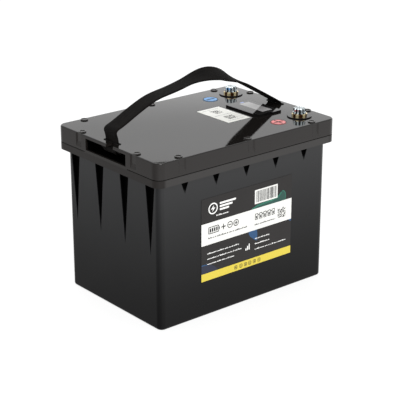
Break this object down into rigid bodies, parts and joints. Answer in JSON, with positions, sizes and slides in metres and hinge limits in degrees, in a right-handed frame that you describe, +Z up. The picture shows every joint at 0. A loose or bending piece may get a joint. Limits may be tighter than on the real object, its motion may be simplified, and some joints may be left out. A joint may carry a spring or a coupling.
{
  "type": "deep cycle battery",
  "caption": "Rectangular deep cycle battery in a flanged case, with a webbing carrying strap, bolted terminals, a display module and cells with their management board inside.",
  "frame": {"origin": "centre of the case's underside, on the surface that the battery stands on", "axes": "+Z up, +X towards the end with the terminals, -Y towards the large label"},
  "size_m": [0.26, 0.1844, 0.2488],
  "materials": {
    "case_plastic": "semi-gloss black ABS",
    "lid_plastic": "polished black ABS",
    "cap_plastic": "gloss black",
    "rubber_seal": "matt",
    "webbing": "woven black polypropylene",
    "strap_plastic": "matt black",
    "steel": "bright zinc",
    "zinc": "bright blue-white zinc",
    "brass": "polished",
    "copper": "tinned copper",
    "bezel_plastic": "gloss black",
    "window": "dark window with clear screen area",
    "lcd": "grey liquid crystal",
    "lamp": "blue lens",
    "circuit": "green solder mask",
    "front_print": "printed film",
    "top_print": "white printed paper",
    "plus_print": "red printed film",
    "minus_print": "blue printed film",
    "cell_wrap": "blue film over aluminium can",
    "aluminium": "plain",
    "board_sheet": "glass epoxy sheet",
    "chip_plastic": "moulded",
    "connector_plastic": "natural nylon",
    "foam": "closed cell foam",
    "cable_red": "silicone",
    "cable_black": "silicone",
    "cable_white": "vinyl"
  },
  "bodies": {
    "root": {"case": "case_plastic", "lid": "lid_plastic", "lid_gasket": "rubber_seal", "lid_screws": "steel", "screw_caps": "cap_plastic", "strap_foot_left": "webbing", "strap_foot_right": "webbing", "strap_bars": "strap_plastic", "strap_collars": "strap_plastic", "display_housing": "bezel_plastic", "display_window": "window", "display_lcd": "lcd", "display_board": "circuit", "display_lamp": "lamp", "positive_terminal_disc": "bezel_plastic", "positive_terminal_post": "brass", "positive_terminal_lug": "copper", "positive_terminal_nut": "brass", "negative_terminal_disc": "bezel_plastic", "negative_terminal_post": "brass", "negative_terminal_lug": "copper", "negative_terminal_nut": "brass", "front_label": "front_print", "top_label": "top_print", "plus_sticker": "plus_print", "minus_sticker": "minus_print", "cell_1": "cell_wrap", "cell_2": "cell_wrap", "cell_3": "cell_wrap", "cell_4": "cell_wrap", "cell_posts": "aluminium", "cell_separators": "board_sheet", "end_plate_front": "board_sheet", "end_plate_rear": "board_sheet", "compression_bands": "steel", "series_busbars": "aluminium", "cell_lugs": "copper", "cell_nuts": "steel", "divider": "board_sheet", "bms_board": "circuit", "bms_screws": "steel", "bms_transistors": "chip_plastic", "bms_heatsink": "aluminium", "bms_connector": "connector_plastic", "foam_base": "foam", "foam_end": "foam", "foam_spacer": "foam", "positive_cable": "cable_red", "cell_negative_cable": "cable_black", "pack_negative_cable": "cable_black", "balance_harness": "cable_white", "display_lead": "cable_white", "temperature_sensor": "cable_black"},
    "handle": {"handle_strap": "webbing"},
    "positive_washers": {"positive_flat_washer": "zinc", "positive_spring_washer": "zinc"},
    "positive_screw": {"positive_bolt": "zinc"},
    "negative_washers": {"negative_flat_washer": "zinc", "negative_spring_washer": "zinc"},
    "negative_screw": {"negative_bolt": "zinc"}
  },
  "joints": [
    {"name": "handle_swing", "type": "hinge", "parent": "root", "child": "handle", "pos_m": [0, 0, 0.196], "axis": [1, 0, 0], "range_deg": [-45, 45], "stiffness_Nm_per_rad": 0.05, "deforming": ["strap_foot_left", "strap_foot_right"]},
    {"name": "positive_bolt_rise", "type": "slide", "parent": "root", "child": "positive_washers", "axis": [0, 0, 1], "range_m": [0, 0.01562]},
    {"name": "positive_bolt_turn", "type": "hinge", "parent": "positive_washers", "child": "positive_screw", "pos_m": [0.1022, -0.06, 0.196], "axis": [0, 0, 1], "range_deg": [0, 4500.5]},
    {"name": "negative_bolt_rise", "type": "slide", "parent": "root", "child": "negative_washers", "axis": [0, 0, 1], "range_m": [0, 0.01562]},
    {"name": "negative_bolt_turn", "type": "hinge", "parent": "negative_washers", "child": "negative_screw", "pos_m": [0.1022, 0.06, 0.196], "axis": [0, 0, 1], "range_deg": [0, 4500.5]}
  ],
  "couplings": [
    {"joint": "positive_bolt_turn", "follows": "positive_bolt_rise", "rad_per_m": 5026.5},
    {"joint": "negative_bolt_turn", "follows": "negative_bolt_rise", "rad_per_m": 5026.5}
  ]
}
